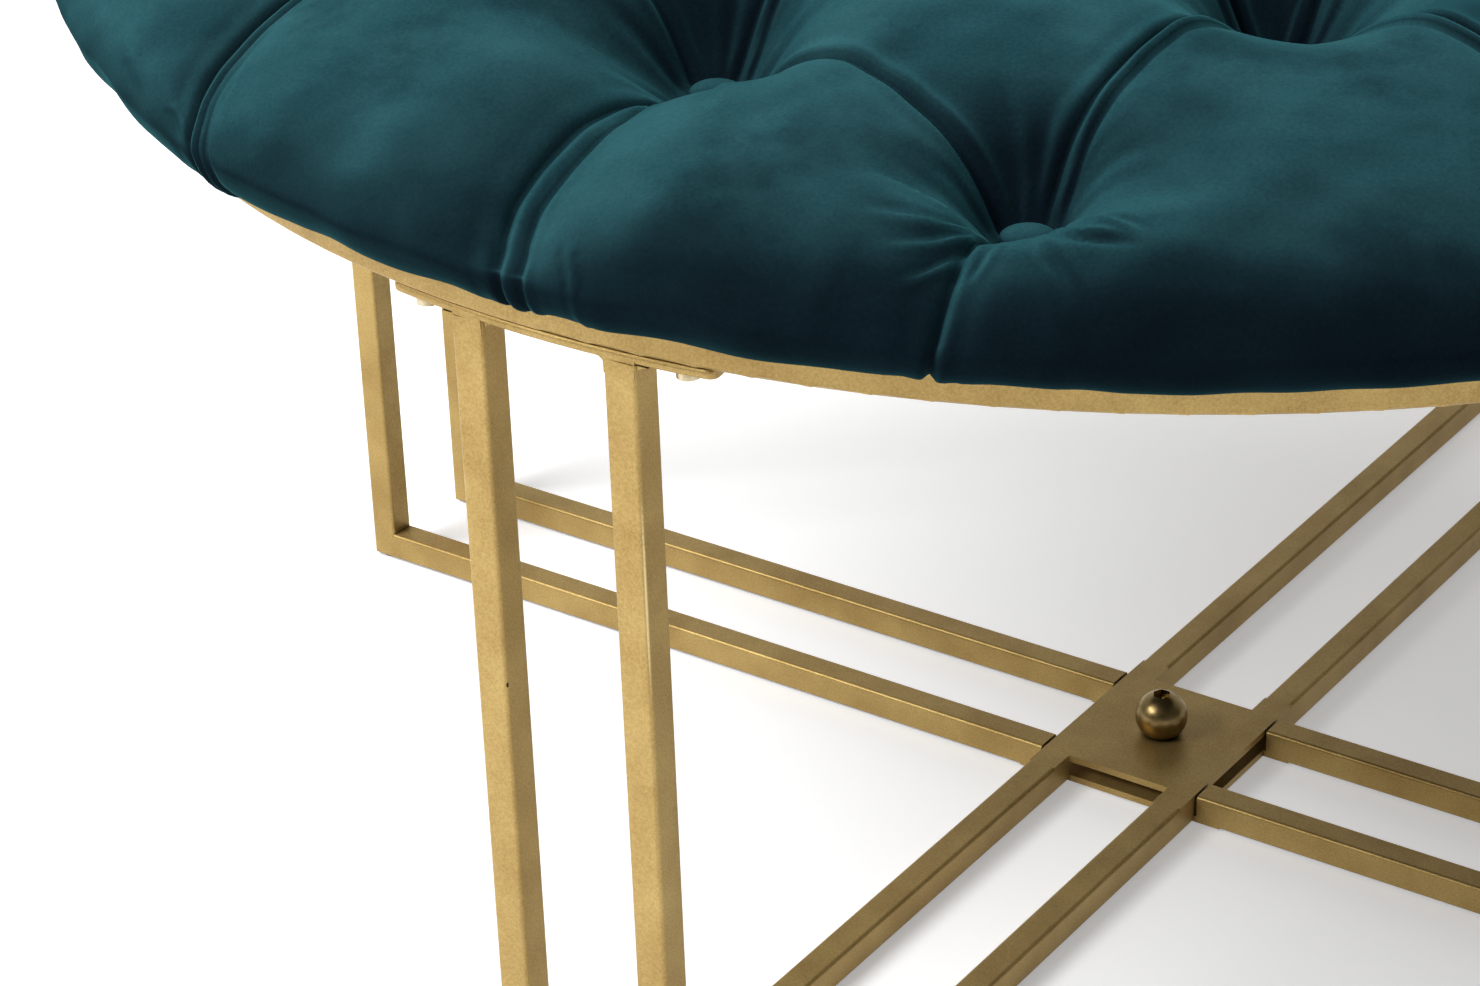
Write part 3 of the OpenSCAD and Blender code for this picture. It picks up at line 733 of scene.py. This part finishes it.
# Pillows, dimples and valleys, without the sharp creases
def broadDrop(plan, field):
    radius = np.hypot(plan[:, 0], plan[:, 1])
    valley = fold["valleyDepth"] * foldDepth[field.line]
    depth = valley + (pleat["depth"] - valley) * smoothStep(field.pleat, *pleat["start"])
    depth *= 1 - pleat["sideFade"] * smoothStep(radius, *pleat["sideSpan"])
    stronger = smoothStep(field.pleat, *pleat["strengthStart"])
    depth *= 1 + (lineStrength[field.line] - 1) * stronger
    fromBand = np.maximum(field.gap - (field.side > 0) * bandAt(field), 0)
    drop = depth * np.clip(1 - fromBand / fold["valleyReach"], 0, 1) ** fold["valleyShape"]
    for centre in buttonPlaces:
        near = np.hypot(*(plan - centre).T) < pit["furthest"]
        drop[near] += pitDrop(plan[near], field.gap[near], centre)
    drop += cushion["lump"] * softNoise(plan, cushion["lumpSize"], cushion["lumpSeed"])
    return drop * clearOfHem(radius, cushion["hemBroad"])


# The crease along each fold and pleat, with the ridges, dip and lap beside it
def foldCreaseDrop(field):
    draw = np.random.default_rng(fold["seed"])
    count = len(lines)
    left = draw.uniform(*fold["ridgeShare"], count)
    right = draw.uniform(*fold["ridgeShare"], count)
    lapSide = np.where(draw.uniform(0, 1, count) < 0.5, -1, 1)
    phase = draw.uniform(*anyPhase, count)
    for n, cells in enumerate(cellsOf):
        if cells in shownLines:
            left[n], right[n], lapSide[n] = shownLines[cells]
    line = field.line
    drop = fold["creaseDepth"] * hump(field.gap, 0, fold["creaseWidth"])
    strength = np.where(field.side > 0, left[line], right[line])
    sway = np.sin(field.along / fold["swayLength"] + phase[line])
    strength = strength * (1 - fold["ridgeSway"] + fold["ridgeSway"] * sway)
    drop -= fold["ridgeHeight"] * strength * hump(field.gap, fold["ridgeAt"], fold["ridgeWidth"])
    drop += fold["dipDepth"] * hump(field.gap, fold["dipAt"], fold["dipWidth"])
    side = np.abs(field.side)
    lapped = (field.side * lapSide[line] > 0) * hump(field.gap, 0, fold["lapReach"])
    lapAt = fold["lapAt"] + fold["lapWiden"] * field.pleat
    lap = smoothStep(side, *fold["lapRise"])
    lap *= 1 - smoothStep(side, lapAt, lapAt + fold["lapFall"])
    drop -= fold["lapHeight"] * lapped * lap
    lapEnd = hump(side, lapAt + fold["lapCreaseAt"], fold["lapCreaseWidth"])
    return drop + fold["lapCrease"] * lapped * lapEnd


def gatherDrop(plan):
    drop = np.zeros(len(plan))
    for n, centre in enumerate(buttonPlaces):
        rel = plan - centre
        rho = np.hypot(rel[:, 0], rel[:, 1])
        near = rho < gather["reach"]
        rho, angle = rho[near], np.arctan2(rel[near, 1], rel[near, 0])
        draw = np.random.default_rng(gather["seed"] + n)
        ripple = sum(np.cos(k * angle + draw.uniform(*anyPhase)) * draw.uniform(*gather["share"])
                     for k in gather["counts"])
        window = smoothStep(rho, *gather["rise"]) * (1 - smoothStep(rho, *gather["fall"]))
        drop[near] += gather["height"] * ripple * window
    return drop


# The second crease of a tuck, the ridge beyond it, and the bulge of the band between
def tuckDrop(field):
    band = bandAt(field)
    ridgeAt = band + pleat["tuckRidgeAt"]
    bulgeWidth = pleat["bulgeShare"] * band + pleat["bulgeLeast"]
    drop = pleat["tuckDepth"] * hump(field.gap, band, pleat["tuckWidth"])
    drop -= pleat["tuckRidge"] * hump(field.gap, ridgeAt, pleat["tuckRidgeWidth"])
    drop -= pleat["bulge"] * hump(field.gap, band / 2, bulgeWidth)
    return drop * (field.side > 0) * smoothStep(band, *pleat["bandSpan"])


# The extra creases, each fading in and out along its line
def creaseDrop(placed):
    total = np.zeros(len(placed))
    for points, depth, width, ridge, ridgeAt, ridgeWidth in creases:
        line = catmullRom(points, creaseLine["steps"])
        low = line.min(axis=0) - creaseLine["margin"]
        high = line.max(axis=0) + creaseLine["margin"]
        near = np.nonzero(((placed > low) & (placed < high)).all(axis=1))[0]
        gap, side, share = np.full(len(near), np.inf), np.zeros(len(near)), np.zeros(len(near))
        for k in range(len(line) - 1):
            along, length, across, here = segmentFrame(placed[near], line[k], line[k + 1])
            closer = here < gap
            gap = np.where(closer, here, gap)
            side = np.where(closer, np.sign(across) * here, side)
            share = np.where(closer, (k + along / length) / (len(line) - 1), share)
        fade = smoothStep(share, *creaseLine["fadeIn"])
        fade *= 1 - smoothStep(share, *creaseLine["fadeOut"])
        beside = ridge * hump(side, ridgeAt, ridgeWidth)
        total[near] += fade * (depth * hump(gap, 0, width) - beside)
    return total


def sharpDrop(plan, placed, field):
    radius = np.hypot(plan[:, 0], plan[:, 1])
    drop = foldCreaseDrop(field) + gatherDrop(plan) + tuckDrop(field) + creaseDrop(placed)
    drop += cushion["quilt"] * softNoise(plan, cushion["quiltSize"], cushion["quiltSeed"])
    drop *= 1 - pleat["detailFade"] * smoothStep(field.pleat, *pleat["start"])
    return drop * clearOfHem(radius, cushion["hemSharp"])


# The way a drop goes: straight down on top, and along the surface's normal on the side
def wayIn(normal, radius):
    lean = smoothStep(radius, *cushion["leanSpan"])[:, None]
    way = normal * lean + np.array([0, 0, 1.0]) * (1 - lean)
    return way / np.linalg.norm(way, axis=1)[:, None]


def seatUnderButtons(points, plan):
    for centre in buttonPlaces:
        rho = np.hypot(*(plan - centre).T)
        near = rho < pit["seatReach"]
        seat = dimpleFloor(np.linalg.norm(centre)) + pit["seat"]
        seat = seat + pit["floorRise"] * (rho[near] / pit["floorRadius"]) ** 2
        share = 1 - smoothStep(rho[near], *pit["seatSpan"])
        points[near, 2] = points[near, 2] * (1 - share) + seat * share
    return points


# The padding's own swelling, from a cloth simulation: a coarse copy of the surface is held
# along its folds, at the buttons and at the hem, and blown up from a slightly sunken start
padding = {
    "perCell": 24, "sink": 4.0, "sinkWidth": 28.0, "cap": 9.0, "pressure": 9.0,
    "spare": -0.002, "frames": 20, "quality": 6, "mass": 0.3, "tension": 15.0, "shearPart": 3,
    "bending": 4.0, "calm": 5,
    "holdWidth": 1.5, "holdRound": 15.0, "holdHem": 26.0, "holdLeast": 0.02,
}


def paddingSink(field, radius):
    offFold = 1 - hump(field.gap, 0, padding["sinkWidth"])
    return padding["sink"] * offFold * clearOfHem(radius, cushion["hemSink"])


def holdPoints(obj, plan, field, radius):
    held = np.max([hump(field.gap, 0, padding["holdWidth"]),
                   nearestButton(plan) < padding["holdRound"],
                   radius > planEnd - padding["holdHem"]], axis=0)
    group = obj.vertex_groups.new(name="held")
    for k in np.nonzero(held > padding["holdLeast"])[0]:
        group.add([int(k)], float(held[k]), "REPLACE")
    return group.name


def blowUp(obj, heldGroup):
    cloth = obj.modifiers.new("cloth", "CLOTH")
    setup = cloth.settings
    setup.quality = padding["quality"]
    setup.mass = padding["mass"]
    setup.tension_stiffness = setup.compression_stiffness = padding["tension"]
    setup.shear_stiffness = padding["tension"] / padding["shearPart"]
    setup.bending_stiffness = padding["bending"]
    setup.vertex_group_mass = heldGroup
    setup.use_pressure = True
    setup.uniform_pressure_force = padding["pressure"]
    setup.shrink_min = padding["spare"]
    setup.effector_weights.gravity = 0.0
    cloth.collision_settings.use_collision = False
    scene = bpy.context.scene
    for timed in (scene, cloth.point_cache):
        timed.frame_start, timed.frame_end = 1, padding["frames"]
    for frameNow in range(1, padding["frames"] + 1):
        scene.frame_set(frameNow)
    blown = obj.evaluated_get(bpy.context.evaluated_depsgraph_get())
    end = np.empty(len(obj.data.vertices) * 3)
    blown.data.vertices.foreach_get("co", end)
    return end.reshape(-1, 3) / mm


def swollenMove():
    reach = cellsToRim() * padding["perCell"]
    gridAt = np.arange(-reach, reach) / padding["perCell"]
    plan, quads, used = latticeMesh(gridAt)
    field = foldField(plan)
    place, normal = basePlace(wanderedPlan(plan))
    radius = np.hypot(plan[:, 0], plan[:, 1])
    drop = broadDrop(plan, field) + paddingSink(field, radius)
    start = seatUnderButtons(place - wayIn(normal, radius) * drop[:, None], plan)
    obj = addMesh("paddingCloth", (start * mm).tolist(), quads.tolist())
    move = blowUp(obj, holdPoints(obj, plan, field, radius)) - start
    bpy.data.objects.remove(obj)
    bpy.context.scene.frame_set(1)
    size = np.linalg.norm(move, axis=1)
    print("padding moved by", round(float(np.median(size)), 2),
          "to", round(float(size.max()), 2), "mm")
    move *= np.minimum(1, padding["cap"] / np.maximum(size, tiny))[:, None]
    whole = np.zeros((len(gridAt) ** 2, 3))
    whole[used] = move
    whole = whole.reshape(len(gridAt), len(gridAt), 3)
    for _ in range(padding["calm"]):    # evens out creases too small for the grid to carry
        for axis in (0, 1):
            whole = (np.roll(whole, 1, axis) + 2 * whole + np.roll(whole, -1, axis)) / 4
    return gridAt, whole


# Smooth reading of the coarse grid at any lattice place
def cubicRead(gridAt, values, u, v):
    def weights(x):
        t = (x - gridAt[0]) / (gridAt[1] - gridAt[0])
        k = np.clip(np.floor(t).astype(int), 1, len(gridAt) - 3)
        f = t - k
        return k, ((-f + 2 * f ** 2 - f ** 3) / 2, (2 - 5 * f ** 2 + 3 * f ** 3) / 2,
                   (f + 4 * f ** 2 - 3 * f ** 3) / 2, (f ** 3 - f ** 2) / 2)
    ku, wu = weights(u)
    kv, wv = weights(v)
    out = np.zeros((len(u), 3))
    for a in range(4):
        for b in range(4):
            out += (wu[a] * wv[b])[:, None] * values[ku + a - 1, kv + b - 1]
    return out


def makeCushion():
    gridAt = gridLines()
    plan, quads, used = latticeMesh(gridAt)
    field = foldField(plan)
    placed = wanderedPlan(plan)
    place, normal = basePlace(placed)
    radius = np.hypot(plan[:, 0], plan[:, 1])
    way = wayIn(normal, radius)
    points = place - way * (broadDrop(plan, field) + sharpDrop(plan, placed, field))[:, None]
    swell = cubicRead(*swollenMove(), gridAt[used // len(gridAt)], gridAt[used % len(gridAt)])
    byPleat = smoothStep(field.pleat, *pleat["calmStart"])
    byPleat *= hump(field.gap, 0, pleat["calmReach"])
    swell *= (1 - pleat["calm"] * byPleat)[:, None]
    points += swell - way * paddingSink(field, radius)[:, None]
    points = seatUnderButtons(points, plan)
    obj = addMesh("tuftedCushion", (points * mm).tolist(), quads.tolist(), finishes["velvet"])
    faceOutward(obj.data, middle=(0, 0, cushion["underside"] * mm))
    makeSmooth(obj.data)
    return obj


cushionObj = makeCushion()
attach(cushionObj, "root")
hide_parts("velvet_cover", "foam_pad")
print("cushion made", len(cushionObj.data.vertices))


# Buttons: a velvet-covered dome pulled over a shell, gathered and tapering below its edge
button = {
    "outline": [
        (0.05, 2.4), (3.0, 2.5), (5.8, 3.3), (7.9, 4.5), (9.0, 5.7), (8.95, 6.7), (8.0, 7.7),
        (6.0, 8.6), (3.2, 9.2), (0.05, 9.4),
    ],
    "outlineSteps": 4, "around": 48,
    "gathers": 14, "gatherDepth": 0.22, "gatherAt": 0.35, "gatherSpan": 0.3, "turnEach": 1.7,
}


def makeButtons():
    line = catmullRom(button["outline"], button["outlineSteps"])
    verts, faces = [], []
    rows, around = len(line), button["around"]
    for n, centre in enumerate(buttonPlaces):
        low = dimpleFloor(np.linalg.norm(centre))
        faces += closedTubeFaces(len(verts), rows, around)
        for k, (r, z) in enumerate(line):
            below = max(0.0, 1 - abs(k / rows - button["gatherAt"]) / button["gatherSpan"])
            for m in range(around):
                a = 2 * math.pi * m / around
                wave = math.cos(button["gathers"] * a + n * button["turnEach"])
                out = r + button["gatherDepth"] * below * wave
                verts.append(((centre[0] + out * math.cos(a)) * mm,
                              (centre[1] + out * math.sin(a)) * mm, (low + z) * mm))
    obj = addMesh("tuftButtons", verts, faces, finishes["button_velvet"])
    makeSmooth(obj.data)
    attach(obj, "root")
    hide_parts("seat_buttons")


makeButtons()
print("buttons made")


# Strips under the ring: flat bar with rolled edges, so a dark groove shows above each
strip = {
    "arms": {"strip_front": -90, "strip_right": 0, "strip_back": 90, "strip_left": 180},
    "outer": 411.0, "width": 18.0, "low": 377.0, "thick": 4.0, "length": 130.0,
    "corner": 3.0, "edge": 1.6, "cornerSteps": 4, "steps": 44,
    "endRows": [0, 0.2, 0.6, 1.2, 2.0],
}


def makeStrip(name, arm):
    edge, corner, length = strip["edge"], strip["corner"], strip["length"]
    outline = []
    for quarter, (outer, upper) in enumerate([(1, 1), (0, 1), (0, 0), (1, 0)]):
        for k in range(strip["cornerSteps"] + 1):
            a = math.pi / 2 * (quarter + k / strip["cornerSteps"])
            outline.append((outer, upper, edge * math.cos(a), edge * math.sin(a)))
    rows = strip["endRows"] + list(np.linspace(corner, length - corner, strip["steps"]))
    rows += [length - d for d in strip["endRows"][::-1]]
    verts = []
    for d in rows:
        short = max(corner - min(d, length - d), 0)
        inset = corner - math.sqrt(max(corner ** 2 - short ** 2, 0))
        a = math.radians(arm) + (d - length / 2) / strip["outer"]
        for outer, upper, dx, dz in outline:
            inward = inset + edge if outer else strip["width"] - inset - edge
            r = strip["outer"] - inward + dx
            h = strip["low"] + (strip["thick"] - edge if upper else edge) + dz
            verts.append((r * math.cos(a) * mm, r * math.sin(a) * mm, h * mm))
    faces = closedTubeFaces(0, len(rows), len(outline))
    obj = addMesh(name + "Bar", verts, faces, finishes["gold_paint"])
    faceOutward(obj.data)
    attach(obj, "root")
    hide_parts(name)


for name, arm in strip["arms"].items():
    makeStrip(name, arm)
print("strips made")


# Welds, painted over, where each leg meets its strip: on three faces of a leg a small concave
# bead, and on the outer one a skin of filler that is ground flush with the strip
weld = {
    "run": 4.4, "steps": 6, "lift": 0.05, "gap": 0.02, "root": 0.3, "setBack": 1.2,
    "skinLow": -5.0, "skinHigh": 2.2, "skinHalf": 6.0, "skinDeep": 2.5, "outerFrom": 0.5,
}
skinFaces = ((0, 2, 3, 1), (4, 5, 7, 6), (0, 4, 6, 2), (1, 3, 7, 5), (0, 1, 5, 4), (2, 6, 7, 3))


def groundSkin(middle, top, legFace, out, side):
    points = []
    for h in (weld["skinLow"], weld["skinHigh"]):
        for across in (-weld["skinHalf"], weld["skinHalf"]):
            along = middle @ side + across
            onStrip = math.sqrt(strip["outer"] ** 2 - along ** 2) - weld["gap"]
            face = onStrip if h > 0 else legFace + weld["gap"]
            for deep in (face, face - weld["skinDeep"]):
                points.append(side * along + out * deep + np.array([0, 0, top + h]))
    return points


def weldBead(foot, reach, out, side):
    points = []
    for end in (-reach, reach):
        for k in range(weld["steps"] + 1):
            t = k / weld["steps"]
            bow = weld["run"] * (1 - t) ** 2 + weld["gap"]
            down = weld["run"] * t ** 2 + weld["lift"]
            points.append(foot + out * bow + side * end - np.array([0, 0, down]))
        points.append(foot + side * end - out * weld["root"])
    return points


def makeWelds():
    verts, faces = [], []
    for name in (name for name in frame["nodes"] if name.startswith("leg_")):
        low, high = (np.array(c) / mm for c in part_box(name))
        half, top = (high - low) / 2, high[2]
        middle = (low + high) / 2 * (1, 1, 0)
        for axis in (0, 1):
            side = np.zeros(3)
            side[1 - axis] = 1
            for sign in (-1, 1):
                out = np.zeros(3)
                out[axis] = sign
                first = len(verts)
                if middle @ out > weld["outerFrom"] * np.linalg.norm(middle):
                    verts += groundSkin(middle, top, middle @ out + half[axis], out, side)
                    faces += [tuple(first + q for q in quad) for quad in skinFaces]
                else:
                    foot = middle + out * half[axis] + np.array([0, 0, top])
                    verts += weldBead(foot, half[1 - axis] - weld["setBack"], out, side)
                    faces += closedTubeFaces(first, 2, weld["steps"] + 2)
    obj = addMesh("weldFillets", (np.array(verts) * mm).tolist(), faces, finishes["gold_paint"])
    faceOutward(obj.data)
    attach(obj, "root")


makeWelds()
print("welds made")


# Dust cover: thin black cloth stapled flat under the board, its edge a little uneven, drawn
# up at the staples and sagging slightly between
dustCover = {
    "radius": 397.0, "top": 393.65, "thick": 0.5, "rings": 40, "around": 240, "sag": 2.2,
    "seed": 31, "waves": 9, "waveCounts": (3, 30), "waveShare": (0.2, 1), "waveHeight": 0.4,
    "edgeIn": 1.0, "edgeMost": 0.9, "edgeShape": 6,
    "pulls": 24, "pull": 0.35, "pullAt": 0.93, "pullWidth": 0.05,
    "slack": 0.25, "slackWaves": (41, 57), "middleHole": 50.0,
}


def makeDustCover():
    rings, around = dustCover["rings"], dustCover["around"]
    draw = np.random.default_rng(dustCover["seed"])
    edgeWaves = [(draw.integers(*dustCover["waveCounts"]), draw.uniform(*anyPhase),
                  draw.uniform(*dustCover["waveShare"])) for _ in range(dustCover["waves"])]
    under = dustCover["top"] - dustCover["thick"]
    across, along = dustCover["slackWaves"]
    verts = []
    for k in range(1, rings + 1):
        share = k / rings
        staples = dustCover["pull"] * hump(share, dustCover["pullAt"], dustCover["pullWidth"])
        for m in range(around):
            a = 2 * math.pi * m / around
            edge = sum(h * math.cos(w * a + f) for w, f, h in edgeWaves) * dustCover["waveHeight"]
            uneven = min(edge, dustCover["edgeMost"]) * share ** dustCover["edgeShape"]
            r = share * (dustCover["radius"] - dustCover["edgeIn"] + uneven)
            hang = dustCover["sag"] * (1 - share ** 2)
            hang += max(0.0, math.cos(dustCover["pulls"] * a) * staples)
            x, y = r * math.cos(a), r * math.sin(a)
            slack = math.sin(x / across + 1) * math.sin(y / along)
            hang += dustCover["slack"] * slack * (1 - share)
            verts.append((x * mm, y * mm, (under - max(hang, 0)) * mm))
    faces = ringFaces(0, rings, around)
    obj = addMesh("dustCoverCloth", verts, faces, finishes["dust_cloth"])
    faceOutward(obj.data, middle=(0, 0, (under - dustCover["sag"]) * mm),
                within=dustCover["middleHole"] * mm)
    makeSmooth(obj.data)
    thick = obj.modifiers.new("thickness", "SOLIDIFY")
    thick.thickness = dustCover["thick"] * mm
    thick.offset = 0
    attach(obj, "root")
    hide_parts("dust_cover")


makeDustCover()
print("dust cover made")


# Floor: white acrylic lit from below, as product photographers use, with almost no shadows
floor = {
    "half": 12.0, "stops": ((0.3, "#EFEFEF"), (0.7, "#F3F3F3")),
    "cloudMm": 500.0, "roughness": 0.6, "glow": "#FFFFFF", "glowStrength": 0.36,
}


def litFloorMaterial(name):
    mat, tree, place = newMaterial(name)
    cloud = addNode(tree, "ShaderNodeTexNoise", {
        "Vector": place, "Scale": 1000 / floor["cloudMm"], "Detail": 2.0,
    }).outputs["Fac"]
    tone = addNode(tree, "ShaderNodeValToRGB", {"Fac": cloud, "stops": floor["stops"]})
    shader = addNode(tree, "ShaderNodeBsdfPrincipled", {
        "Base Color": tone.outputs["Color"], "Roughness": floor["roughness"],
        "Emission Color": linear(floor["glow"]), "Emission Strength": floor["glowStrength"],
    })
    addNode(tree, "ShaderNodeOutputMaterial", {"Surface": shader.outputs["BSDF"]})
    return mat


def addFloor():
    far = floor["half"]
    corners = [(-far, -far, 0), (far, -far, 0), (far, far, 0), (-far, far, 0)]
    obj = addMesh("studioFloor", corners, [(0, 1, 2, 3)], litFloorMaterial("whiteLightTable"))


addFloor()

# Two soft lamps, their places in mm and sizes in m, and a world brighter on the left behind
lights = {
    "keyLight": {"place": (-1500, -2300, 2900), "size": 2.2, "power": 166.0},
    "topLight": {"place": (200, 300, 3200), "size": 2.6, "power": 50.0},
}
lampTarget = (0, 0, 0.3)
worldLight = {
    "from": (-0.5, 0.78, 0.3),
    "strength": {"From Min": 0.1, "From Max": 0.9, "To Min": 0.06, "To Max": 0.68},
}


def addLight(name, row):
    data = bpy.data.lights.new(name, "AREA")
    data.shape = "DISK"
    data.size = row["size"]
    data.energy = row["power"]
    lamp = addObject(name, data)
    lamp.location = Vector(row["place"]) * mm
    lamp.rotation_euler = (Vector(lampTarget) - lamp.location).to_track_quat("-Z", "Y").to_euler()


def addWorld():
    world = bpy.data.worlds.new("studioWhite")
    world.use_nodes = True
    tree = world.node_tree
    around = addNode(tree, "ShaderNodeTexCoord").outputs["Generated"]
    towards = addNode(tree, "ShaderNodeVectorMath", {
        "operation": "DOT_PRODUCT", 0: around, 1: worldLight["from"],
    }).outputs["Value"]
    strength = addNode(tree, "ShaderNodeMapRange", {"Value": towards, **worldLight["strength"]})
    background = tree.nodes["Background"]
    background.inputs["Color"].default_value = (1, 1, 1, 1)
    tree.links.new(strength.outputs["Result"], background.inputs["Strength"])
    bpy.context.scene.world = world


for name, row in lights.items():
    addLight(name, row)
addWorld()
bpy.context.scene.view_settings.view_transform = "Standard"
print("stage and lights set")
